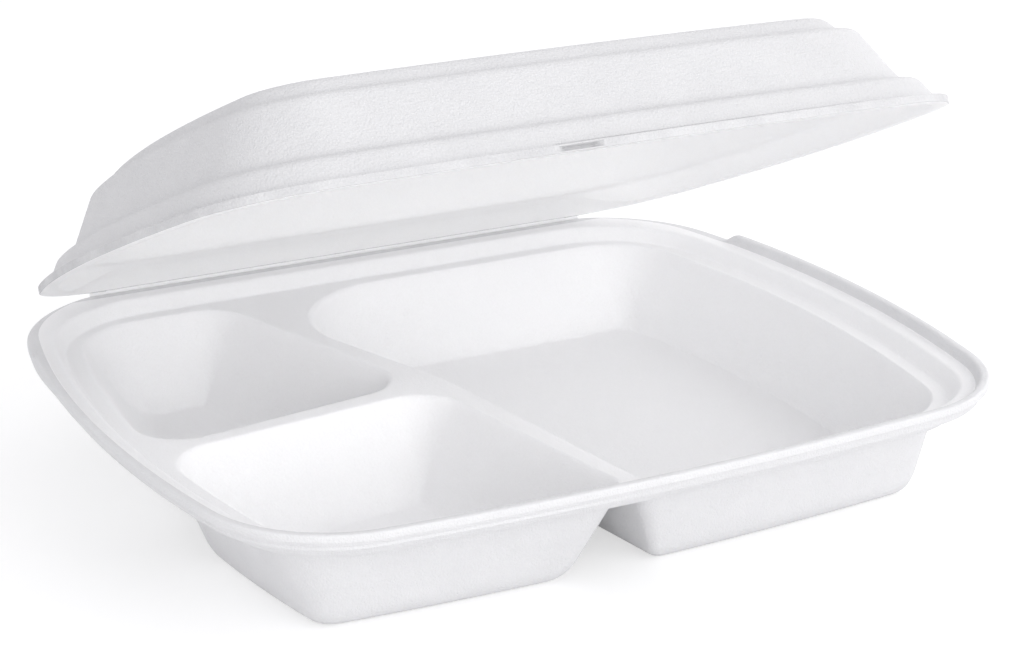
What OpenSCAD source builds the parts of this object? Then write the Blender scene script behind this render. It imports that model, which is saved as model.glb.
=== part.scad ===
// Hinged foam food box: a tray with three compartments and a lid, pressed from one sheet.
// X runs along the hinge crease, Y from the front edge to the crease, Z up from the table.

/* [Sheet] */
// Thickness of the foam sheet
foam_t = 2.2; // [1.8:0.1:2.8]
// Clearance between the two edges that meet at the crease
crease_gap = 0.4; // [0.3:0.1:0.8]
// How far the lid stands open
open_angle = 23.6; // [0:0.1:150]

/* [Outline] */
// Width of the tray across its bowed sides
tray_w = 240; // [225:1:270]
// Depth of the tray from its bowed front edge to the crease
tray_d = 206.8; // [195:0.2:230]
// Bow of the left and right sides
side_bow = 15.6; // [12:0.2:18]
// Bow of the front edge
front_bow = 8; // [5:0.2:11]
// Corner radius at the front
front_r = 38; // [34:1:42]
// Corner radius at the back
back_r = 43; // [38:1:48]
// How far the back corners would reach past the crease
crease_cut = 1.6; // [0.6:0.1:2.6]

/* [Rim] */
// Height of the tray to the top of its lip
tray_h = 36; // [32:0.5:44]
// Width of the lip
lip_w = 2.4; // [2:0.1:3]
// Height of the lip over the seat that carries the lid
lip_h = 3; // [2.6:0.1:4]
// Run of the lip's inner slope
lip_run = 1.2; // [0.6:0.1:1.8]
// Distance from the crease to the ends of the lip
lip_end = 44; // [38:1:60]
// Length of the ramp at each end of the lip
lip_ramp = 6; // [3:0.5:10]
// Width of the seat
seat_w = 4; // [3:0.1:5]
// Width of the flat land along the crease
land_w = 8.4; // [7:0.1:11]
// Drop from the seat to the shelf round the compartments
step_h = 4.5; // [3.6:0.1:6]
// Run of that drop
step_run = 2.6; // [1.6:0.1:3.6]
// Width of the shelf
shelf_w = 3.7; // [2.6:0.1:5]

/* [Compartments] */
// Place of the dividers' meeting point along the crease
junction_x = -19; // [-30:0.5:-8]
// Place of the dividers' meeting point towards the crease
junction_y = -1; // [-10:0.5:10]
// Place where the back divider reaches the back shelf
divider_back_x = -46; // [-52:0.5:-30]
// Place where the front divider reaches the front shelf
divider_front_x = -5.5; // [-14:0.5:2]
// Place where the small divider reaches the left shelf
divider_left_y = -12.5; // [-18:0.5:-4]
// Flat width of the dividers at their meeting point
divider_w = 4; // [3:0.5:8]
// Flat width of the dividers at the rim
divider_end_w = 1.6; // [0.8:0.2:4]
// Inward run of the right wall
right_run = 14; // [10:0.5:18]
// Inward run of the left wall
left_run = 20.5; // [14:0.5:23]
// Inward run of the left wall in the back compartment
small_run = 24.5; // [18:0.5:26]
// Inward run of the front wall
front_run = 20.5; // [14:0.5:23]
// Inward run of the back wall
back_run = 17; // [12:0.5:19]
// Inward run of the walls on the dividers
divider_run = 21; // [16:0.5:23]
// Corner radius on the rim side
pocket_r = 22; // [18:0.5:25]
// Corner radius of the large compartment beside the back divider
wide_r = 34; // [28:0.5:36]
// Corner radius beside a divider
nook_r = 14; // [10:0.5:17]
// Corner radius in the sharp end of a compartment
tip_r = 5; // [4:0.5:8]
// Length of the bevelled bend on each side of the meeting point, in the large compartment
blunt = 14; // [8:0.5:20]
// Corner radius of the floors, as a share of that at the top
floor_r_share = 0.3; // [0.2:0.05:0.6]

/* [Lid] */
// Gap between the tray's outline and the lid's
lid_inset = 5.2; // [4.6:0.1:6.4]
// Height of the lid over its flange
lid_h = 29.4; // [28:0.2:32]
// Width of the flange
flange_w = 3; // [2.4:0.1:4]
// Height of the shoulder
shoulder_h = 8.6; // [7:0.2:11]
// Run of the shoulder
shoulder_run = 3.4; // [2.6:0.1:5]
// Width of the ledge over the shoulder
lid_ledge_w = 3.8; // [2.6:0.1:5]
// Height of the wall's upper edge
lid_wall_h = 25; // [23:0.5:26.5]
// Run of the wall
lid_wall_run = 8.6; // [6:0.2:12]
// Width of the border round the raised panel
border_w = 3.6; // [2.6:0.1:6]
// Run of the panel's edge
panel_run = 3.4; // [2.6:0.1:6]

/* [Latch] */
// Place of the latch slot along the front flange
slot_x = -17; // [-30:0.5:30]
// Width of the slot
slot_w = 10; // [8:0.2:16]
// Height of the slot in the flange's edge
slot_h = 1.3; // [0.9:0.1:1.5]
// Depth of the slot and of the slit beside it
slot_d = 4.2; // [3:0.1:4.4]
// Length of the slit
slit_l = 32; // [15:0.5:40]
// Height of the slit
slit_h = 0.6; // [0.4:0.1:1]

/* [Hidden] */

// Radius that stands for a straight edge
flat_r = 100000;
// Steps of an arc at a corner, along a bowed edge and at a softened bend
corner_steps = 7;
bow_steps = 5;
bend_steps = 2;
// Length taken off each side of a bend, for the sheet's own bends and for the broad ones
bend = 0.6;
broad_bend = 2.2;
// Largest share of a straight run that a bend takes, and length of the bends of a compartment's wall
bend_limit = 0.45;
wall_bend = 0.3;
// Overlap that makes one solid of two that meet, and height of a cut over a face
lap = 0.5;
over = 2;
// Difference in height below which two outlines are level
level = 0.001;

// Sideways distance between the two faces of a sloped wall
skin_share = 0.64;
skin = skin_share * foam_t;
half_w = tray_w / 2;
front_y = -tray_d / 2;
crease_y = tray_d / 2;
back_y = crease_y + crease_cut;
mid_y = (front_y + back_y) / 2;
edge_y = crease_y - crease_gap / 2;

seat_z = tray_h - lip_h;
shelf_z = seat_z - step_h;
hinge_z = seat_z + crease_gap / 2;
lip_end_y = crease_y - lip_end;
// Run against rise where the flat back rim fades out under the lip
fade_slope = 14;

// Distances from the outline to each bend of the rim
seat_out = lip_w + lip_run;
seat_in = seat_out + seat_w;
shelf_out = seat_in + step_run;
shelf_in = shelf_out + shelf_w;
back_extra = crease_cut + land_w - seat_in;
floor_share = 0.62;

// Distances from the lid's outline to each bend of the lid
shoulder_in = flange_w + shoulder_run;
ledge_in = shoulder_in + lid_ledge_w;
wall_in = ledge_in + lid_wall_run;
border_in = wall_in + border_w;
panel_in = border_in + panel_run;
lid_back_extra = crease_cut + land_w - flange_w;
lid_radius_share = 0.6;

function unit(a) = [cos(a), sin(a)];
function angle_of(v) = atan2(v[1], v[0]);
function turn(a) = (a % 360 + 360) % 360;

// An edge of an outline: the centre of its arc, its radius and its number of steps
function bowed(mid, normal, radius) = [mid - radius * unit(normal), radius, bow_steps];
function straight(mid, normal) = [mid - flat_r * unit(normal), flat_r, 1];
function straight_through(p, q) = straight(p, angle_of(q - p) - 90);
function bow_radius(half, bow) = (half * half + bow * bow) / (2 * bow);

right_edge = bowed([half_w, mid_y], 0, bow_radius(back_y - mid_y, side_bow));
left_edge = bowed([-half_w, mid_y], 180, bow_radius(back_y - mid_y, side_bow));
front_edge = bowed([0, front_y], -90, bow_radius(half_w, front_bow));
back_edge = straight([0, back_y], 90);
rim_edges = [right_edge, back_edge, left_edge, front_edge];

// Centre of the corner arc of radius r between two edges moved in by di and dj
function corner(ei, ej, di, dj, r) =
    let (
        ri = ei[1] - di - r,
        rj = ej[1] - dj - r,
        v = ej[0] - ei[0],
        d = norm(v),
        u = v / d,
        a = (ri * ri - rj * rj + d * d) / (2 * d),
        h = sqrt(max(0, ri * ri - a * a))
    )
    ei[0] + a * u + h * [-u[1], u[0]];

function arc(c, r, from, to, first, last, steps) =
    [for (i = [first : last]) c + r * unit(from + turn(to - from) * i / steps)];

// Closed outline inside four edges, each moved in by its own distance, with rounded corners
function outline(edges, moved, radii) =
    let (
        m = len(edges),
        q = [for (k = [0 : m - 1])
            corner(edges[k], edges[(k + 1) % m], moved[k], moved[(k + 1) % m], radii[k])]
    )
    [for (k = [0 : m - 1])
        let (
            j = (k + 1) % m,
            e = edges[j],
            from = angle_of(q[k] - edges[k][0]),
            at = angle_of(q[k] - e[0]),
            to = angle_of(q[j] - e[0])
        )
        each concat(
            arc(q[k], radii[k], from, at, 0, corner_steps, corner_steps),
            arc(e[0], e[1] - moved[j], at, to, 1, e[2] - 1, e[2])
        )];

function raised(points, z) = [for (p = points) [p[0], min(p[1], edge_y), z]];

// Profile of straight runs with each bend softened by a curve
function softened(p, cut) =
    [for (i = [0 : len(p) - 1])
        each (i == 0 || i == len(p) - 1) ? [p[i]] : softened_bend(p[i - 1], p[i], p[i + 1], cut)];
function softened_bend(a, b, c, cut) =
    let (
        from = b + (a - b) * min(bend_limit, cut / norm(a - b)),
        to = b + (c - b) * min(bend_limit, cut / norm(c - b))
    )
    [for (k = [0 : bend_steps])
        let (t = k / bend_steps)
        (1 - t) * (1 - t) * from + 2 * t * (1 - t) * b + t * t * to];

// Solid between each outline and the next, where they lie at different heights
module stack(rings) {
    for (i = [0 : len(rings) - 2])
        if (abs(rings[i][0][2] - rings[i + 1][0][2]) > level)
            hull() {
                points = concat(rings[i], rings[i + 1]);
                polyhedron(points, [[for (k = [0 : len(points) - 1]) k]]);
            }
}

// Outline of the tray moved in by p[0] at height p[1]; inside the seat the back keeps its land
function rim_ring(p) =
    let (
        d = p[0],
        back = d > (seat_out + seat_in) / 2 ? d + back_extra : 0,
        near = max(nook_r, back_r - d),
        far = max(nook_r, front_r - d)
    )
    raised(outline(rim_edges, [d, back, d, d], [near, near, far, far]), p[1]);
module rim_stack(profile, cut) {
    stack([for (p = softened(profile, cut)) rim_ring(p)]);
}

// Sheet of the rim before it is hollowed: lip, seat, step and shelf
module rim_body() {
    rim_stack([
        [bend, tray_h],
        [0, tray_h - bend],
        [0, tray_h - foam_t + bend],
        [bend, tray_h - foam_t]
    ], bend / 2);
    rim_stack([
        [lip_w - skin, tray_h - foam_t + lap],
        [lip_w - skin, tray_h - foam_t],
        [seat_out - skin, seat_z - foam_t]
    ], bend);
    rim_stack([
        [seat_in - skin, seat_z - foam_t + lap],
        [seat_in - skin, seat_z - foam_t],
        [shelf_out - skin, shelf_z - foam_t]
    ], bend);
}

// Space over the seat and over the shelf
module rim_space() {
    rim_stack([
        [lip_w - bend, tray_h + over],
        [lip_w - bend, tray_h],
        [lip_w, tray_h - bend],
        [seat_out, seat_z],
        [seat_in, seat_z],
        [shelf_out, shelf_z],
        [shelf_in, shelf_z]
    ], bend);
}

// Everything behind a ramp that starts at height z and rises towards the front
module behind_ramp(z, rise, slope) {
    rotate([90, 0, -90])
        linear_extrude(height = 2 * tray_w, center = true)
            polygon([
                [-lip_end_y, z],
                [-lip_end_y + slope * rise, z + rise],
                [-back_y - over, z + rise],
                [-back_y - over, z]
            ]);
}

// Flat rim behind the ends of the lip, level with the seat
module back_rim() {
    intersection() {
        rim_stack([
            [bend, seat_z],
            [0, seat_z - bend],
            [0, seat_z - foam_t + bend],
            [bend, seat_z - foam_t]
        ], bend / 2);
        behind_ramp(seat_z - foam_t - lap, foam_t + 2 * lap, fade_slope);
    }
}

// Dividers: the meeting point and the three places where they reach the shelf
junction = [junction_x, junction_y];
back_end = [divider_back_x, back_y - shelf_in - back_extra];
front_end = [divider_front_x, front_y + shelf_in];
left_end = [-half_w + shelf_in, divider_left_y];

// Edge of a compartment along a divider; the compartment lies to the left of from-to
function along(from, to, w_from, w_to) =
    let (n = unit(angle_of(to - from) + 90))
    straight_through(from + n * w_from / 2, to + n * w_to / 2);
function from_junction(end) = along(junction, end, divider_w, divider_end_w);
function to_junction(end) = along(end, junction, divider_end_w, divider_w);

// Edge that takes the bend off the large compartment at the meeting point
function across(end_a, end_b) =
    let (
        a = junction + blunt * unit(angle_of(end_a - junction)),
        b = junction + blunt * unit(angle_of(end_b - junction)),
        n = unit(angle_of(b - a) + 90)
    )
    straight_through(a + n * divider_w / 2, b + n * divider_w / 2);

// How far the rim edges of a compartment lie inside the outline, and the runs of its walls
shelf_back = shelf_in + back_extra;
on_right = [shelf_in, right_run];
on_left = [shelf_in, left_run];
on_small = [shelf_in, small_run];
on_back = [shelf_back, back_run];
on_front = [shelf_in, front_run];
on_divider = [0, divider_run];

// A compartment: its edges, how each is moved in, and its corner radii
function large_pocket(left) = [
    [right_edge, back_edge, left, front_edge],
    [on_right, on_back, on_divider, on_front],
    [pocket_r, wide_r, tip_r, pocket_r]
];
front_pocket = [
    [to_junction(front_end), from_junction(left_end), left_edge, front_edge],
    [on_divider, on_divider, on_left, on_front],
    [nook_r, nook_r, pocket_r, tip_r]
];
back_pocket = [
    [from_junction(back_end), back_edge, left_edge, to_junction(left_end)],
    [on_divider, on_back, on_small, on_divider],
    [nook_r, pocket_r, nook_r, nook_r]
];
pockets = [
    large_pocket(to_junction(back_end)),
    large_pocket(across(back_end, front_end)),
    large_pocket(from_junction(front_end)),
    front_pocket,
    back_pocket
];

// Wall of a compartment: share of the inward run against height over the floor
pocket_depth = shelf_z - foam_t;
lead = 0.1;
wall_profile = softened([[0, 1], [lead, 1], [floor_share, 0], [1, 0]], wall_bend);

function pocket_ring(pocket, share, grown, z) =
    let (
        moved = [for (m = pocket[1]) m[0] + m[1] * share - grown],
        radii = [for (r = pocket[2]) r * (1 - share * (1 - floor_r_share)) + grown]
    )
    raised(outline(pocket[0], moved, radii), z);
module pocket_stack(pocket, grown, floor_z, rise) {
    stack(concat(
        [pocket_ring(pocket, 0, grown, floor_z + pocket_depth + rise)],
        [for (w = wall_profile) pocket_ring(pocket, w[0], grown, floor_z + pocket_depth * w[1])]
    ));
}

module tray() {
    color("whitesmoke")
        difference() {
            union() {
                rim_body();
                back_rim();
                for (p = pockets)
                    pocket_stack(p, skin, 0, lap);
            }
            rim_space();
            behind_ramp(seat_z, lip_h + over, lip_ramp / lip_h);
            for (p = pockets)
                pocket_stack(p, 0, foam_t, over);
        }
}

// Outline of the closed lid moved in by p[0] at height p[1] over the flange
function lid_ring(p) =
    let (
        d = p[0],
        back = d > flange_w / 2 ? d + lid_back_extra : 0,
        less = d * lid_radius_share,
        near = back_r - less,
        far = front_r - lid_inset - less,
        in = lid_inset + d
    )
    raised(outline(rim_edges, [in, back, in, in], [near, near, far, far]), hinge_z + crease_gap / 2 + p[1]);
module lid_stack(profile, cut) {
    stack([for (p = softened(profile, cut)) lid_ring(p)]);
}

module lid_body() {
    lid_stack([
        [bend, 0],
        [0, bend],
        [0, foam_t - bend],
        [bend, foam_t]
    ], bend / 2);
    lid_stack([
        [flange_w, foam_t - lap],
        [flange_w, foam_t],
        [shoulder_in, shoulder_h],
        [ledge_in, shoulder_h],
        [wall_in, lid_wall_h],
        [border_in, lid_wall_h],
        [panel_in, lid_h],
        [panel_in + broad_bend, lid_h]
    ], broad_bend);
}

module lid_space() {
    lid_stack([
        [flange_w + skin, -over],
        [flange_w + skin, 0],
        [shoulder_in + skin, shoulder_h - foam_t],
        [ledge_in + skin, shoulder_h - foam_t],
        [wall_in + skin, lid_wall_h - foam_t],
        [border_in + skin, lid_wall_h - foam_t],
        [panel_in + skin, lid_h - foam_t],
        [panel_in + skin + broad_bend, lid_h - foam_t]
    ], broad_bend);
}

// Latch: a slot in the edge of the flange and a slit along the foot of the shoulder
module latch_cut() {
    flange_front = front_y + lid_inset;
    flange_z = hinge_z + crease_gap / 2;
    translate([slot_x - slot_w / 2, flange_front - over, flange_z + (foam_t - slot_h) / 2])
        cube([slot_w, slot_d + over, slot_h]);
    translate([slot_x + slot_w / 2, flange_front - over, flange_z + foam_t])
        cube([slit_l, slot_d + over, slit_h]);
}

module lid() {
    color("white")
        translate([0, crease_y, hinge_z])
            rotate([-open_angle, 0, 0])
                translate([0, -crease_y, -hinge_z])
                    difference() {
                        lid_body();
                        lid_space();
                        latch_cut();
                    }
}

tray();
lid();
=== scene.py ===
"""Hinged foam meal box: a compartmented tray and a domed lid pressed from one sheet, on a pale floor.

Sizes are in millimetres until a piece is finished; each piece is then scaled to metres in place.
"""

import math

import bmesh
import bpy
from mathutils import Matrix, Vector


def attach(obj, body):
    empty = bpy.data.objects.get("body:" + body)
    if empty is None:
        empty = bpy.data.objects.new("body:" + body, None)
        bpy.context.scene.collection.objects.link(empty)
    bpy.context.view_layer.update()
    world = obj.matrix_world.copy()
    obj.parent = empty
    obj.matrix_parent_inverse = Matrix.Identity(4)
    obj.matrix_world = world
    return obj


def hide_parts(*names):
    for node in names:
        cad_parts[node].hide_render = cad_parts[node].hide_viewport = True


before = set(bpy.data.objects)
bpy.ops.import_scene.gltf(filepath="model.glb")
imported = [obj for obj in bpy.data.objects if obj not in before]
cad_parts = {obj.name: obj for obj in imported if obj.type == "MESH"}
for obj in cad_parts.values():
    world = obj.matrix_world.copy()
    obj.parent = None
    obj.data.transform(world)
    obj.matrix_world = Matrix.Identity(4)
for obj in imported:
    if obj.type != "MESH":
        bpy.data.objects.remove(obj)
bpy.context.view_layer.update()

# Metres in a millimetre
MM = 0.001

# Sheet and crease; the two faces of a sloped wall are a share of the sheet's thickness apart sideways
FOAM_T = 2.2
SKIN_SHARE = 0.64
SKIN = SKIN_SHARE * FOAM_T
CREASE_GAP = 0.4
OPEN_ANGLE = 23.6
FOLD_HALF = 84.0
FOLD_R = 0.7
FOLD_BEVEL = 0.5
FOLD_SIDES = 20
FOLD_BEVEL_STEPS = 3

# Outline of the tray
TRAY_W = 240.0
TRAY_D = 206.8
SIDE_BOW = 15.6
FRONT_BOW = 8.0
FRONT_R = 38.0
BACK_R = 43.0
CREASE_CUT = 1.6

# Rim
TRAY_H = 36.0
LIP_W = 2.4
LIP_H = 3.0
LIP_RUN = 1.2
LIP_END = 44.0
LIP_RAMP = 6.0
LIP_FADE = 42.0
SEAT_W = 4.0
LAND_W = 8.4
STEP_H = 4.5
STEP_RUN = 2.6
SHELF_W = 3.7
SHELF_HOLD = 1.2

# Wrinkles under the lip, around a place at the front left
WRINKLE = 0.3
WRINKLE_MID = Vector((-78.0, -92.0))
WRINKLE_REACH = 78.0
WRINKLE_BEND = 0.2
WRINKLE_RIDGES = 2

# Compartments; each corner radius is one value at the top and one at the floor
JUNCTION = Vector((-19.0, -1.0))
DIVIDER_BACK_X = -46.0
DIVIDER_FRONT_X = -5.5
DIVIDER_LEFT_Y = -12.5
DIVIDER_W = 4.0
DIVIDER_END_W = 1.6
RIGHT_RUN = 14.0
LEFT_RUN = 20.5
SMALL_RUN = 26.5
FRONT_RUN = 20.5
BACK_RUN = 17.0
DIVIDER_RUN = 21.0
POCKET_R = (22.0, 5.0)
WIDE_R = (34.0, 18.0)
NOOK_R = (14.0, 1.0)
TIP_R = (5.0, 1.0)
NOSE_R = (-150.0, -171.0)
TIGHTENING = 1.5

# Compartment walls, in shares of a wall's run
LEAD = 0.1
OUTER_LEAD = 0.04
FLOOR_SHARE = 0.62
BRIM_BEND = 0.3
FLOOR_BEND = 0.5
OUTER_BRIM_BEND = 0.03
OUTER_FLOOR_BEND = 0.3

# Lid
LID_INSET = 5.2
LID_H = 29.4
FLANGE_W = 3.0
SHOULDER_H = 8.6
SHOULDER_RUN = 3.4
LID_LEDGE_W = 3.8
LID_WALL_H = 25.0
LID_WALL_RUN = 8.6
BORDER_W = 3.6
PANEL_RUN = 3.4
PANEL_HOLD = 3.2
LID_R_SHARE = 0.6

# Rise of the lid's strip beside the crease
BACK_RISE = 5.4
BACK_RISE_END = 98.0
BACK_RISE_FADE = 24.0

# Latch in the lid's front flange
SLOT_LEFT = -22.0
SLOT_RIGHT = -12.0
SLOT_D = 2.8
SLOT_LOW = 0.45
SLOT_HIGH = 1.75
SLOT_END = 0.06
SLOT_STEP = 0.02
SLIT_RIGHT = 104.0
SLIT_D = 1.6
SLIT_H = 0.6
SLIT_LEAN = SLIT_H / 3

# Places of the finishes on a piece
INNER_FACE = 0
OUTER_FACE = 1
CUT_EDGE = 2

# Steps of the mesh
CORNER_STEPS = 18
BEND_STEPS = 6
INNER_WALL_STEPS = 12
OUTER_WALL_STEPS = 10
SIDE_STEPS = 64
FRONT_STEPS = 60
BACK_STEPS = 30
DIVIDER_STEPS = 30

# Radius of an edge that counts as straight, largest share of a run that a bend takes, shortest lengths
FLAT_R = 100000.0
BEND_LIMIT = 0.48
SHORTEST_RUN = 1e-6
NEAR = 0.01

# Derived places
HALF_W = TRAY_W / 2
FRONT_Y = -TRAY_D / 2
CREASE_Y = TRAY_D / 2
BACK_Y = CREASE_Y + CREASE_CUT
MID_Y = (FRONT_Y + BACK_Y) / 2
EDGE_Y = CREASE_Y - CREASE_GAP / 2
SEAT_Z = TRAY_H - LIP_H
SHELF_Z = SEAT_Z - STEP_H
HINGE_Z = SEAT_Z + CREASE_GAP / 2
LIP_END_Y = CREASE_Y - LIP_END
SEAT_OUT = LIP_W + LIP_RUN
SEAT_IN = SEAT_OUT + SEAT_W
SHELF_OUT = SEAT_IN + STEP_RUN
SHELF_IN = SHELF_OUT + SHELF_W
BACK_EXTRA = CREASE_CUT + LAND_W - SEAT_IN
SHOULDER_IN = FLANGE_W + SHOULDER_RUN
LEDGE_IN = SHOULDER_IN + LID_LEDGE_W
WALL_IN = LEDGE_IN + LID_WALL_RUN
BORDER_IN = WALL_IN + BORDER_W
PANEL_IN = BORDER_IN + PANEL_RUN
LID_BACK_EXTRA = CREASE_CUT + LAND_W - FLANGE_W


# Outlines


def unit(angle):
    return Vector((math.cos(angle), math.sin(angle)))


def heading(v):
    return math.atan2(v.y, v.x)


def even_stops(steps):
    return [i / steps for i in range(1, steps)]


def bowed_edge(mid, normal, half, bow, stops):
    """An edge of an outline, as the arc that bows out by a given height over its half length."""
    radius = (half * half + bow * bow) / (2 * bow)
    return (Vector(mid) - radius * unit(normal), radius, stops)


def straight_edge(mid, normal, stops):
    return (Vector(mid) - FLAT_R * unit(normal), FLAT_R, stops)


def edge_through(p, q, stops):
    return straight_edge(p, heading(q - p) - math.pi / 2, stops)


def corner_centre(edge_a, edge_b, in_a, in_b, radius):
    """Centre of the arc that rounds the corner of two edges; a negative radius rounds an inward bend."""
    ra = edge_a[1] - in_a - radius
    rb = edge_b[1] - in_b - radius
    between = edge_b[0] - edge_a[0]
    d = between.length
    u = between / d
    a = (ra * ra - rb * rb + d * d) / (2 * d)
    h = math.copysign(math.sqrt(max(0.0, ra * ra - a * a)), radius)
    return edge_a[0] + a * u + h * Vector((-u.y, u.x))


def turned(a, b):
    """Shortest turn from one angle to another."""
    return (b - a + math.pi) % (2 * math.pi) - math.pi


def outline(edges, moved, radii):
    """Closed outline inside its edges, each moved in by its own distance, with rounded corners."""
    count = len(edges)
    centres = [
        corner_centre(edges[k], edges[(k + 1) % count], moved[k], moved[(k + 1) % count], radii[k])
        for k in range(count)
    ]
    points = []
    for k in range(count):
        j = (k + 1) % count
        middle, radius, stops = edges[j]
        a = heading(centres[k] - edges[k][0])
        b = heading(centres[k] - middle)
        c = heading(centres[j] - middle)
        for i in range(CORNER_STEPS + 1):
            points.append(centres[k] + radii[k] * unit(a + turned(a, b) * i / CORNER_STEPS))
        for t in stops:
            points.append(middle + (radius - moved[j]) * unit(b + turned(b, c) * t))
    return points


def softened(corners, steps=BEND_STEPS):
    """A profile of straight runs, with each bend eased by a curve.

    Each corner is its values and the length of its bend.
    """
    out = [corners[0][0]]
    for (a, _), (b, cut), (c, _) in zip(corners, corners[1:], corners[2:]):
        a, b, c = Vector(a), Vector(b), Vector(c)
        start = b + (a - b) * min(BEND_LIMIT, cut / max((a - b).length, SHORTEST_RUN))
        end = b + (c - b) * min(BEND_LIMIT, cut / max((c - b).length, SHORTEST_RUN))
        for i in range(steps + 1):
            t = i / steps
            out.append((1 - t) ** 2 * start + 2 * t * (1 - t) * b + t * t * end)
    out.append(corners[-1][0])
    return [tuple(p) for p in out]


def eased(t):
    """Smooth step from 0 to 1."""
    t = min(1.0, max(0.0, t))
    return t * t * (3 - 2 * t)


side_stops = even_stops(SIDE_STEPS)
right_edge = bowed_edge((HALF_W, MID_Y), 0.0, BACK_Y - MID_Y, SIDE_BOW, side_stops)
left_edge = bowed_edge((-HALF_W, MID_Y), math.pi, BACK_Y - MID_Y, SIDE_BOW, side_stops)
front_edge = bowed_edge((0, FRONT_Y), -math.pi / 2, HALF_W, FRONT_BOW, even_stops(FRONT_STEPS))
back_edge = straight_edge((0, BACK_Y), math.pi / 2, even_stops(BACK_STEPS))
RIM_EDGES = (right_edge, back_edge, left_edge, front_edge)


# Sheets built from rings


def ring_edges(bm, ring):
    return [bm.edges.get((a, b)) for a, b in zip(ring, ring[1:] + ring[:1])]


def first_ring(bm, points):
    ring = bmesh.ops.create_circle(bm, segments=len(points), radius=1.0)["verts"]
    for v, p in zip(ring, points):
        v.co = p
    return ring


def give_finish(made, finish):
    for face in (g for g in made if isinstance(g, bmesh.types.BMFace)):
        face.material_index = finish


def drawn_ring(bm, ring, points, finish):
    """Extrudes the open ring once, moves the new ring to its place and gives the new faces their finish."""
    made = bmesh.ops.extrude_edge_only(bm, edges=ring_edges(bm, ring))["geom"]
    give_finish(made, finish)
    fresh = {g for g in made if isinstance(g, bmesh.types.BMVert)}
    following = []
    for old, p in zip(ring, points):
        new = next(e.other_vert(old) for e in old.link_edges if e.other_vert(old) in fresh)
        new.co = p
        following.append(new)
    return following


def drawn_sheet(bm, rings, finishes):
    """Draws one skin through every ring, each strip with its own finish; gives back its end rings."""
    first = ring = first_ring(bm, rings[0])
    for points, finish in zip(rings[1:], finishes):
        ring = drawn_ring(bm, ring, points, finish)
    return first, ring


def close_flat(bm, ring, finish):
    """Closes an open ring with a fan of faces around its middle."""
    made = bmesh.ops.edgeloop_fill(bm, edges=ring_edges(bm, ring))["faces"]
    give_finish(bmesh.ops.poke(bm, faces=made)["faces"], finish)


def fill_between(bm, rings, finish):
    """Fills the level face inside the first ring and outside the others."""
    edges = [e for ring in rings for e in ring_edges(bm, ring)]
    made = bmesh.ops.triangle_fill(bm, edges=edges, use_beauty=True, normal=Vector((0, 0, 1)))["geom"]
    give_finish(made, finish)


def foam_piece(name, bm, finishes):
    """Turns a closed sheet into a finished piece, in metres, with its place in its mesh."""
    bmesh.ops.scale(bm, vec=Vector((MM, MM, MM)), verts=bm.verts)
    bmesh.ops.recalc_face_normals(bm, faces=bm.faces)
    for f in bm.faces:
        f.smooth = True
    mesh = bpy.data.meshes.new(name)
    bm.to_mesh(mesh)
    bm.free()
    for finish in finishes:
        mesh.materials.append(finish)
    piece = bpy.data.objects.new(name, mesh)
    bpy.context.scene.collection.objects.link(piece)
    return piece


# Tray


def rim_ring(inset, z, lift, under, ridge):
    """Ring of the rim at an inset from the outline.

    Lift is the share of the lip's height that it loses where the lip ends. Under is 1 below the lip,
    where that fade is long. Ridge is 1 on a wrinkle, which is full up to half its reach and then fades.
    """
    inside = inset > (SEAT_OUT + SEAT_IN) / 2
    back = inset + BACK_EXTRA if inside else 0.0
    limit = EDGE_Y if inside else EDGE_Y - inset
    near = BACK_R - inset
    far = FRONT_R - inset
    ramp = LIP_RAMP + under * (LIP_FADE - LIP_RAMP)
    points = []
    for p in outline(RIM_EDGES, (inset, back, inset, inset), (near, near, far, far)):
        sunk = LIP_H * lift * eased((p.y - LIP_END_Y + ramp) / ramp)
        wrinkle = WRINKLE * ridge * eased(2 - 2 * (p - WRINKLE_MID).length / WRINKLE_REACH)
        p = p + p.normalized() * wrinkle
        points.append(Vector((p.x, min(p.y, limit), z - sunk)))
    return points


def wrinkled(start, end):
    """Profile corners of the small ridges pressed across a run of the rim."""
    out = []
    for i in range(1, 2 * WRINKLE_RIDGES):
        t = i / (2 * WRINKLE_RIDGES)
        run = [a + (b - a) * t for a, b in zip(start, end)]
        out.append(((*run, i % 2), WRINKLE_BEND))
    return out


# Rim profile: inset, height, lift, under and ridge of each corner, with the length of its bend
UNDER_LIP = (LIP_W - SKIN, TRAY_H - FOAM_T, 1, 1)
UNDER_SEAT_OUT = (SEAT_OUT - SKIN, SEAT_Z - FOAM_T, 0, 1)
UNDER_SEAT_IN = (SEAT_IN - SKIN, SEAT_Z - FOAM_T, 0, 0)
UNDER_SHELF = (SHELF_OUT - SKIN, SHELF_Z - FOAM_T, 0, 0)
RIM_PROFILE = softened([
    ((SHELF_OUT + SHELF_HOLD, SHELF_Z, 0, 0, 0), 0),
    ((SHELF_OUT, SHELF_Z, 0, 0, 0), 0.9),
    ((SEAT_IN, SEAT_Z, 0, 0, 0), 1.0),
    ((SEAT_OUT, SEAT_Z, 0, 0, 0), 0.8),
    ((LIP_W, TRAY_H, 1, 0, 0), 0.9),
    ((0, TRAY_H, 1, 0, 0), 0.8),
    ((0, TRAY_H - FOAM_T, 1, 1, 0), 0.4),
    ((*UNDER_LIP, 0), WRINKLE_BEND),
    *wrinkled(UNDER_LIP, UNDER_SEAT_OUT),
    ((*UNDER_SEAT_OUT, 0), 0.35),
    ((*UNDER_SEAT_IN, 0), 0.3),
    *wrinkled(UNDER_SEAT_IN, UNDER_SHELF),
    ((*UNDER_SHELF, 0), 0.35),
    ((SHELF_OUT + SHELF_HOLD, SHELF_Z - FOAM_T, 0, 0, 0), 0),
])

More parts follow.
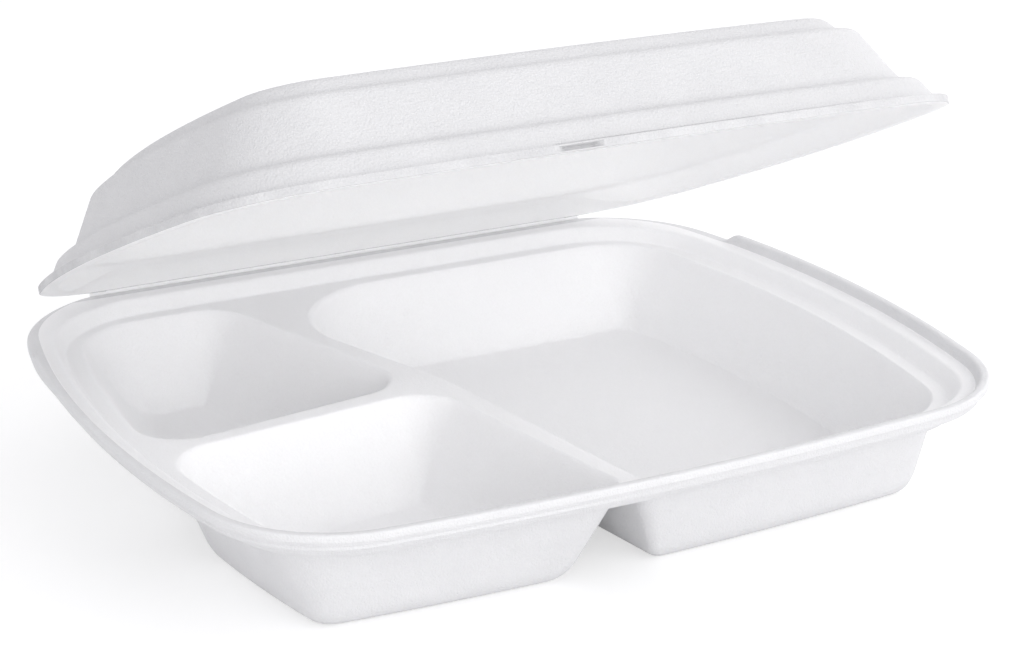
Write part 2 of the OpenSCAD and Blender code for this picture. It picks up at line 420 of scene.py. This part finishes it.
back_end = Vector((DIVIDER_BACK_X, BACK_Y - SHELF_IN - BACK_EXTRA))
front_end = Vector((DIVIDER_FRONT_X, FRONT_Y + SHELF_IN))
left_end = Vector((-HALF_W + SHELF_IN, DIVIDER_LEFT_Y))


def along_divider(start, end, w_start, w_end):
    """Edge of a compartment along a divider; the compartment is left of the way from start to end."""
    n = unit(heading(end - start) + math.pi / 2)
    return edge_through(start + n * w_start / 2, end + n * w_end / 2, even_stops(DIVIDER_STEPS))


def from_junction(end):
    return along_divider(JUNCTION, end, DIVIDER_W, DIVIDER_END_W)


def to_junction(end):
    return along_divider(end, JUNCTION, DIVIDER_END_W, DIVIDER_W)


# Place of a compartment's edge inside the outline, and the run of its wall
ON_RIGHT = (SHELF_IN, RIGHT_RUN)
ON_LEFT = (SHELF_IN, LEFT_RUN)
ON_SMALL = (SHELF_IN, SMALL_RUN)
ON_FRONT = (SHELF_IN, FRONT_RUN)
ON_BACK = (SHELF_IN + BACK_EXTRA, BACK_RUN)
ON_DIVIDER = (0.0, DIVIDER_RUN)

# Each compartment: its edges, their places and its corner radii
COMPARTMENTS = (
    (
        (right_edge, back_edge, to_junction(back_end), from_junction(front_end), front_edge),
        (ON_RIGHT, ON_BACK, ON_DIVIDER, ON_DIVIDER, ON_FRONT),
        (POCKET_R, WIDE_R, NOSE_R, TIP_R, POCKET_R),
    ),
    (
        (to_junction(front_end), from_junction(left_end), left_edge, front_edge),
        (ON_DIVIDER, ON_DIVIDER, ON_LEFT, ON_FRONT),
        (NOOK_R, NOOK_R, POCKET_R, TIP_R),
    ),
    (
        (from_junction(back_end), back_edge, left_edge, to_junction(left_end)),
        (ON_DIVIDER, ON_BACK, ON_SMALL, ON_DIVIDER),
        (NOOK_R, POCKET_R, NOOK_R, NOOK_R),
    ),
)

# Wall profiles: share of the wall's run against share of its height
INNER_WALL = softened(
    [((0, 1), 0), ((LEAD, 1), BRIM_BEND), ((FLOOR_SHARE, 0), FLOOR_BEND), ((1, 0), 0)],
    INNER_WALL_STEPS,
)
OUTER_WALL = softened(
    [
        ((LEAD - OUTER_LEAD, 1), 0),
        ((LEAD, 1), OUTER_BRIM_BEND),
        ((FLOOR_SHARE, 0), OUTER_FLOOR_BEND),
        ((1, 0), 0),
    ],
    OUTER_WALL_STEPS,
)


def compartment_ring(compartment, share, grown, z):
    """Ring of a compartment; its corners tighten down the wall, into a crease at the floor."""
    edges, places, radii = compartment
    moved = [place + run * share - grown for place, run in places]
    down = min(1.0, max(0.0, share - LEAD) / (FLOOR_SHARE - LEAD))
    rounded = [floor + (top - floor) * (1 - down) ** TIGHTENING + grown for top, floor in radii]
    return [Vector((p.x, p.y, z)) for p in outline(edges, moved, rounded)]


def compartment_wall(bm, compartment, profile, grown, floor_z, finish):
    """Draws one skin of a compartment and closes its floor; gives back its top ring."""
    depth = SHELF_Z - FOAM_T
    rings = [compartment_ring(compartment, s, grown, floor_z + depth * h) for s, h in profile]
    top, floor = drawn_sheet(bm, rings, [finish] * len(rings))
    close_flat(bm, floor, finish)
    return top


def make_tray(finishes):
    """Rim and compartments, each drawn over its upper and lower skin and joined by two level faces."""
    bm = bmesh.new()
    turn = next(i for i, p in enumerate(RIM_PROFILE) if p[0] < SEAT_OUT)
    sides = [INNER_FACE if i < turn else OUTER_FACE for i in range(len(RIM_PROFILE))]
    upper, lower = drawn_sheet(bm, [rim_ring(*p) for p in RIM_PROFILE], sides)
    inside = [compartment_wall(bm, c, INNER_WALL, 0.0, FOAM_T, INNER_FACE) for c in COMPARTMENTS]
    outside = [compartment_wall(bm, c, OUTER_WALL, SKIN, 0.0, OUTER_FACE) for c in COMPARTMENTS]
    fill_between(bm, [upper, *inside], INNER_FACE)
    fill_between(bm, [lower, *outside], OUTER_FACE)
    return foam_piece("tray_foam", bm, finishes)


# Lid


def latch_stops():
    """Stops along the lid's front, with a close pair at each end of the latch slot."""
    span = HALF_W - LID_INSET - (FRONT_R - LID_INSET)
    stops = even_stops(FRONT_STEPS)
    for x in (SLOT_LEFT, SLOT_RIGHT):
        stops += [0.5 + (x - SLOT_END) / (2 * span), 0.5 + (x + SLOT_END) / (2 * span)]
    return sorted(stops)


LID_EDGES = (
    right_edge,
    back_edge,
    left_edge,
    bowed_edge((0, FRONT_Y), -math.pi / 2, HALF_W, FRONT_BOW, latch_stops()),
)


def lid_ring(inset, height, foot):
    """Ring of the lid at an inset from its edge.

    At the back, the strip beside the crease rises from the height of its foot to the shoulder.
    """
    inside = inset > FLANGE_W / 2
    back = inset + LID_BACK_EXTRA if inside else 0.0
    limit = EDGE_Y if inside else EDGE_Y - inset
    near = BACK_R - inset * LID_R_SHARE
    far = FRONT_R - LID_INSET - inset * LID_R_SHARE
    moved = LID_INSET + inset
    over_foot = max(0.0, 1 - max(0.0, height - foot) / (SHOULDER_H - FOAM_T))
    rise = BACK_RISE * over_foot * min(1.0, inset / FLANGE_W)
    points = []
    for p in outline(LID_EDGES, (moved, back, moved, moved), (near, near, far, far)):
        lifted = rise * eased((BACK_RISE_END - abs(p.x)) / BACK_RISE_FADE) if p.y > 0 else 0.0
        points.append(Vector((p.x, min(p.y, limit), HINGE_Z + CREASE_GAP / 2 + height + lifted)))
    return points


def slot_pushed(points, depth):
    """Ring with its stretch at the latch slot pushed in from the flange's edge."""
    return [
        Vector((p.x, p.y + depth, p.z)) if p.y < 0 and SLOT_LEFT < p.x < SLOT_RIGHT else p
        for p in points
    ]


def slit_pushed(points, depth):
    """Ring with a groove along the foot of the shoulder that fades out beside the slot."""
    out = []
    for p in points:
        fade = eased((SLIT_RIGHT - p.x) / (SLIT_RIGHT - SLOT_RIGHT)) if p.x > SLOT_LEFT else 0.0
        out.append(Vector((p.x, p.y + depth * fade, p.z)) if p.y < 0 else p)
    return out


# Lid profiles: inset and height of each corner, with the length of its bend
LID_INSIDE = softened([
    ((PANEL_IN + SKIN + PANEL_HOLD, LID_H - FOAM_T), 0),
    ((PANEL_IN + SKIN, LID_H - FOAM_T), 2.2),
    ((BORDER_IN + SKIN, LID_WALL_H - FOAM_T), 1.8),
    ((WALL_IN + SKIN, LID_WALL_H - FOAM_T), 2.2),
    ((LEDGE_IN + SKIN, SHOULDER_H - FOAM_T), 2.2),
    ((SHOULDER_IN + SKIN, SHOULDER_H - FOAM_T), 2.0),
    ((FLANGE_W + SKIN, 0), 1.0),
    ((0, 0), 0.4),
    ((0, SLOT_LOW), 0),
])[:-1]
LID_OUTSIDE = softened([
    ((0, SLOT_HIGH), 0),
    ((0, FOAM_T), 0.4),
    ((FLANGE_W, FOAM_T), 0.15),
    ((FLANGE_W + SLIT_LEAN, FOAM_T + SLIT_H), 0.1),
    ((SHOULDER_IN, SHOULDER_H), 2.2),
    ((LEDGE_IN, SHOULDER_H), 2.2),
    ((WALL_IN, LID_WALL_H), 2.4),
    ((BORDER_IN, LID_WALL_H), 1.8),
    ((PANEL_IN, LID_H), 2.4),
    ((PANEL_IN + PANEL_HOLD, LID_H), 0),
])[1:]

# Slot profile: height and depth of each ring on the flange's edge
SLOT_PROFILE = (
    (SLOT_LOW, 0),
    (SLOT_LOW + SLOT_STEP, SLOT_D),
    (SLOT_HIGH - SLOT_STEP, SLOT_D),
    (SLOT_HIGH, 0),
)


def make_lid(finishes):
    """One sheet drawn from the panel's inside over the flange's cut edge to its outside, then opened."""
    bm = bmesh.new()
    rings = [lid_ring(*p, 0.0) for p in LID_INSIDE]
    for height, depth in SLOT_PROFILE:
        rings.append(slot_pushed(lid_ring(0, height, FOAM_T), depth))
    for inset, height in LID_OUTSIDE:
        at_foot = abs(inset - FLANGE_W) < SLIT_H / 2 and height < FOAM_T + SLIT_H / 2
        rings.append(slit_pushed(lid_ring(inset, height, FOAM_T), SLIT_D if at_foot else 0.0))
    turn = len(LID_INSIDE)
    sides = [INNER_FACE if i < turn else OUTER_FACE for i in range(len(rings))]
    sides[turn - BEND_STEPS:turn + BEND_STEPS] = [CUT_EDGE] * (2 * BEND_STEPS)
    inside, outside = drawn_sheet(bm, rings, sides)
    close_flat(bm, inside, INNER_FACE)
    close_flat(bm, outside, OUTER_FACE)
    bmesh.ops.rotate(
        bm,
        verts=bm.verts,
        cent=Vector((0, CREASE_Y, HINGE_Z)),
        matrix=Matrix.Rotation(-math.radians(OPEN_ANGLE), 3, "X"),
    )
    return foam_piece("lid_foam", bm, finishes)


# Crease


def make_crease(finishes):
    """Slim fold of pressed foam that joins the two sheets along the hinge line."""
    bm = bmesh.new()
    bmesh.ops.create_cone(
        bm,
        cap_ends=True,
        segments=FOLD_SIDES,
        radius1=FOLD_R,
        radius2=FOLD_R,
        depth=2 * FOLD_HALF,
        matrix=Matrix.Translation((0, CREASE_Y, HINGE_Z)) @ Matrix.Rotation(math.pi / 2, 4, "Y"),
    )
    ends = []
    for e in bm.edges:
        a, b = (v.co.x for v in e.verts)
        if abs(abs(a) - FOLD_HALF) < NEAR and a * b > 0:
            ends.append(e)
    bmesh.ops.bevel(
        bm,
        geom=ends,
        offset=FOLD_BEVEL,
        segments=FOLD_BEVEL_STEPS,
        profile=0.5,
        affect="EDGES",
        material=-1,
    )
    return foam_piece("crease_fold", bm, finishes)


# Foam

# Skin: gloss, and how light soaks into the sheet
FOAM_IOR = 1.45
FOAM_SPECULAR = 0.35
SOAK_COLOUR = (0.95, 0.97, 1.0)
SOAK_DEPTH = 0.005
GLOSS_SPREAD = 0.08

# Mottle, cells and grain: their scales, and the parts of their range that show
MOTTLE_SCALE = 90.0
MOTTLE_DETAIL = 4.0
DULL_AT = 0.3
PALE_AT = 0.7
CELL_SCALE = 1700.0
CELL_CORE = 0.2
CELL_BORDER = 0.8
CELL_HEIGHT = -0.8
GRAIN_SCALE = 700.0
GRAIN_DETAIL = 5.0
BUMP_STRENGTH = 0.4

# Tints of each skin, pale and dull; one foam is given a painted-light tint inside and painted-shade tints
# outside and on the cut edge
# Inside tints: painted light, lighter than the foam's own white so that the hollow of the box shows bright
LIT_INNER_PALE = (0.987, 0.986, 0.992, 1)
LIT_INNER_DULL = (0.978, 0.977, 0.984, 1)
# Tray's outside tints: painted shade, the same foam made darker on the outer walls
SHADED_OUTER_PALE = (0.775, 0.774, 0.783, 1)
SHADED_OUTER_DULL = (0.75, 0.749, 0.759, 1)
# Lid's outside tints: painted shade, the same foam made darker still on the lid's outer face
SHADED_LID_PALE = (0.748, 0.747, 0.756, 1)
SHADED_LID_DULL = (0.723, 0.722, 0.732, 1)
# Cut edge tints: darker for the open pores of the cut foam and for painted shade on an edge that faces away
# from the light
PORED_AND_SHADED_CUT_PALE = (0.72, 0.719, 0.727, 1)
PORED_AND_SHADED_CUT_DULL = (0.62, 0.619, 0.63, 1)


def foam_material(name, pale, dull, speckle, roughness, relief, soak):
    """White pressed foam: fine closed cells under a satin skin, mottled between a pale and a dull tint. The
    tints' overall level carries painted light on the inner copies and painted shade on the outer and
    cut-edge copies.

    Speckle is how far the cells' borders darken, relief the depth of cells and grain in metres, and
    soak the share of the light that spreads inside the sheet.
    """
    mat = bpy.data.materials.new(name)
    mat.use_nodes = True
    nodes, links = mat.node_tree.nodes, mat.node_tree.links
    shader = nodes["Principled BSDF"]
    shader.inputs["IOR"].default_value = FOAM_IOR
    shader.inputs["Specular IOR Level"].default_value = FOAM_SPECULAR
    shader.inputs["Subsurface Weight"].default_value = soak
    shader.inputs["Subsurface Radius"].default_value = SOAK_COLOUR
    shader.inputs["Subsurface Scale"].default_value = SOAK_DEPTH

    place = nodes.new("ShaderNodeTexCoord")
    mottle = nodes.new("ShaderNodeTexNoise")
    mottle.inputs["Scale"].default_value = MOTTLE_SCALE
    mottle.inputs["Detail"].default_value = MOTTLE_DETAIL
    cells = nodes.new("ShaderNodeTexVoronoi")
    cells.inputs["Scale"].default_value = CELL_SCALE
    grain = nodes.new("ShaderNodeTexNoise")
    grain.inputs["Scale"].default_value = GRAIN_SCALE
    grain.inputs["Detail"].default_value = GRAIN_DETAIL
    for pattern in (mottle, cells, grain):
        links.new(place.outputs["Object"], pattern.inputs["Vector"])

    tint = nodes.new("ShaderNodeValToRGB")
    tint.color_ramp.elements[0].position = DULL_AT
    tint.color_ramp.elements[0].color = dull
    tint.color_ramp.elements[1].position = PALE_AT
    tint.color_ramp.elements[1].color = pale
    links.new(mottle.outputs["Fac"], tint.inputs["Fac"])
    border = nodes.new("ShaderNodeMapRange")
    border.inputs["From Min"].default_value = CELL_CORE
    border.inputs["From Max"].default_value = CELL_BORDER
    border.inputs["To Min"].default_value = 1.0
    border.inputs["To Max"].default_value = 1 - speckle
    links.new(cells.outputs["Distance"], border.inputs["Value"])
    shaded = nodes.new("ShaderNodeMix")
    shaded.data_type = "RGBA"
    shaded.blend_type = "MULTIPLY"
    shaded.inputs["Factor"].default_value = 1.0
    links.new(tint.outputs["Color"], shaded.inputs["A"])
    links.new(border.outputs["Result"], shaded.inputs["B"])
    links.new(shaded.outputs["Result"], shader.inputs["Base Color"])

    gloss = nodes.new("ShaderNodeMapRange")
    gloss.inputs["To Min"].default_value = roughness - GLOSS_SPREAD
    gloss.inputs["To Max"].default_value = roughness + GLOSS_SPREAD
    links.new(mottle.outputs["Fac"], gloss.inputs["Value"])
    links.new(gloss.outputs["Result"], shader.inputs["Roughness"])

    height = nodes.new("ShaderNodeMath")
    height.operation = "MULTIPLY_ADD"
    height.inputs[1].default_value = CELL_HEIGHT
    links.new(cells.outputs["Distance"], height.inputs[0])
    links.new(grain.outputs["Fac"], height.inputs[2])
    bump = nodes.new("ShaderNodeBump")
    bump.inputs["Strength"].default_value = BUMP_STRENGTH
    bump.inputs["Distance"].default_value = relief
    links.new(height.outputs["Value"], bump.inputs["Height"])
    links.new(bump.outputs["Normal"], shader.inputs["Normal"])
    return mat


# Tray's inner skin: the painted-light copy of the foam
lit_tray_inner = foam_material(
    "lit_tray_inner_skin", LIT_INNER_PALE, LIT_INNER_DULL, speckle=0.015, roughness=0.55, relief=0.00025, soak=0.2
)
# Tray's outer skin: the painted-shade copy of the foam
shaded_tray_outer = foam_material(
    "shaded_tray_outer_skin", SHADED_OUTER_PALE, SHADED_OUTER_DULL, speckle=0.012, roughness=0.65, relief=0.0004, soak=0.2
)
# Lid's inner skin: the painted-light copy of the foam
lit_lid_inner = foam_material(
    "lit_lid_inner_skin", LIT_INNER_PALE, LIT_INNER_DULL, speckle=0.015, roughness=0.55, relief=0.00025, soak=1.0
)
# Lid's outer skin: the painted-shade copy of the foam
shaded_lid_outer = foam_material(
    "shaded_lid_outer_skin", SHADED_LID_PALE, SHADED_LID_DULL, speckle=0.02, roughness=0.65, relief=0.0006, soak=0.2
)
# Cut edge: open pores of the cut foam together with painted shade
pored_and_shaded_cut_foam = foam_material(
    "pored_and_shaded_cut_foam_edge", PORED_AND_SHADED_CUT_PALE, PORED_AND_SHADED_CUT_DULL, speckle=0.04, roughness=0.8, relief=0.0006, soak=0.2
)
# The pieces wear the painted-light inner copies and the painted-shade outer and cut-edge copies; the crease
# shares the painted-light inner copy
tray = make_tray((lit_tray_inner, shaded_tray_outer))
lid = make_lid((lit_lid_inner, shaded_lid_outer, pored_and_shaded_cut_foam))
crease = make_crease((lit_tray_inner,))
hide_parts("tray")
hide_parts("lid")
for piece, body in ((tray, "tray"), (lid, "lid"), (crease, "tray")):
    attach(piece, body)


# Floor, light and camera

# Floor: its colour as light meets it and as it is seen, and the glow that makes it show white
FLOOR_HALF = 4.0
FLOOR_LIT = (0.9, 0.9, 0.905, 1)
FLOOR_SEEN = (0.54, 0.54, 0.545, 1)
FLOOR_GLOW = 0.56

# Lamps: place in metres, size and power; all look at one point
LAMPS = (
    ("front_lamp", (0.5, -1.25, 0.75), 1.0, 6.7),
    ("right_lamp", (1.4, -0.1, 0.25), 1.4, 3.5),
    ("left_lamp", (-0.7, -1.25, 0.2), 1.0, 6.2),
    ("back_lamp", (1.1, 0.7, 0.3), 1.4, 4.5),
)
LAMP_TARGET = Vector((0, 0, 0.05))

# Sky: its colour, its strength on the object and as it is seen
SKY_COLOUR = (0.985, 0.98, 1.0, 1)
SKY_LIGHT = 0.76
SKY_SEEN = 1.0

# Camera: angles in degrees, the point that it looks at and its distance in metres
AZIMUTH = -27.515
ELEVATION = 19.775
ROLL = -0.327
LOOKED_AT = Vector((0.0059, 0.00105, 0.03729))
DISTANCE = 0.67484
SENSOR_W = 36.0
LENS = 84.45


def background_rays(nodes, links):
    """Socket that is 1 for the rays that show the white background: camera, glossy and transmission rays."""
    path = nodes.new("ShaderNodeLightPath")
    seen = path.outputs["Is Camera Ray"]
    for kind in ("Is Glossy Ray", "Is Transmission Ray"):
        either = nodes.new("ShaderNodeMath")
        either.operation = "MAXIMUM"
        links.new(seen, either.inputs[0])
        links.new(path.outputs[kind], either.inputs[1])
        seen = either.outputs["Value"]
    return seen


def floor_material():
    """Pale floor that shows as white to the camera and keeps the box's shadow."""
    mat = bpy.data.materials.new("pale_floor")
    mat.use_nodes = True
    nodes, links = mat.node_tree.nodes, mat.node_tree.links
    nodes.clear()
    out = nodes.new("ShaderNodeOutputMaterial")
    matt = nodes.new("ShaderNodeBsdfDiffuse")
    glow = nodes.new("ShaderNodeEmission")
    seen = background_rays(nodes, links)
    tone = nodes.new("ShaderNodeMix")
    tone.data_type = "RGBA"
    tone.inputs["A"].default_value = FLOOR_LIT
    tone.inputs["B"].default_value = FLOOR_SEEN
    share = nodes.new("ShaderNodeMath")
    share.operation = "MULTIPLY"
    share.inputs[1].default_value = FLOOR_GLOW
    both = nodes.new("ShaderNodeAddShader")
    links.new(seen, tone.inputs["Factor"])
    links.new(tone.outputs["Result"], matt.inputs["Color"])
    links.new(seen, share.inputs[0])
    links.new(share.outputs["Value"], glow.inputs["Strength"])
    links.new(matt.outputs["BSDF"], both.inputs[0])
    links.new(glow.outputs["Emission"], both.inputs[1])
    links.new(both.outputs["Shader"], out.inputs["Surface"])
    return mat


def make_floor():
    bm = bmesh.new()
    bmesh.ops.create_grid(bm, x_segments=2, y_segments=2, size=FLOOR_HALF)
    mesh = bpy.data.meshes.new("floor")
    bm.to_mesh(mesh)
    bm.free()
    mesh.materials.append(floor_material())
    floor = bpy.data.objects.new("floor", mesh)
    bpy.context.scene.collection.objects.link(floor)


def soft_lamp(name, place, size, power):
    data = bpy.data.lights.new(name, "AREA")
    data.shape = "DISK"
    data.size = size
    data.energy = power
    lamp = bpy.data.objects.new(name, data)
    bpy.context.scene.collection.objects.link(lamp)
    lamp.location = place
    lamp.rotation_euler = (LAMP_TARGET - Vector(place)).to_track_quat("-Z", "Y").to_euler()


def make_light():
    for lamp in LAMPS:
        soft_lamp(*lamp)
    world = bpy.data.worlds.new("studio")
    bpy.context.scene.world = world
    world.use_nodes = True
    nodes, links = world.node_tree.nodes, world.node_tree.links
    sky = nodes["Background"]
    sky.inputs["Color"].default_value = SKY_COLOUR
    level = nodes.new("ShaderNodeMapRange")
    level.inputs["To Min"].default_value = SKY_LIGHT
    level.inputs["To Max"].default_value = SKY_SEEN
    links.new(background_rays(nodes, links), level.inputs["Value"])
    links.new(level.outputs["Result"], sky.inputs["Strength"])


def make_camera():
    """Camera at the photograph's place: front left, a little above the lid's open edge."""
    azimuth = math.radians(AZIMUTH)
    elevation = math.radians(ELEVATION)
    back = Vector((
        math.sin(azimuth) * math.cos(elevation),
        -math.cos(azimuth) * math.cos(elevation),
        math.sin(elevation),
    ))
    right = Vector((math.cos(azimuth), math.sin(azimuth), 0))
    data = bpy.data.cameras.new("camera")
    data.sensor_width = SENSOR_W
    data.lens = LENS
    camera = bpy.data.objects.new("camera", data)
    bpy.context.scene.collection.objects.link(camera)
    turn = Matrix((right, back.cross(right), back)).transposed().to_4x4()
    spot = LOOKED_AT + DISTANCE * back
    camera.matrix_world = Matrix.Translation(spot) @ turn @ Matrix.Rotation(math.radians(ROLL), 4, "Z")
    bpy.context.scene.camera = camera


make_floor()
make_light()
make_camera()
bpy.context.scene.view_settings.view_transform = "Standard"
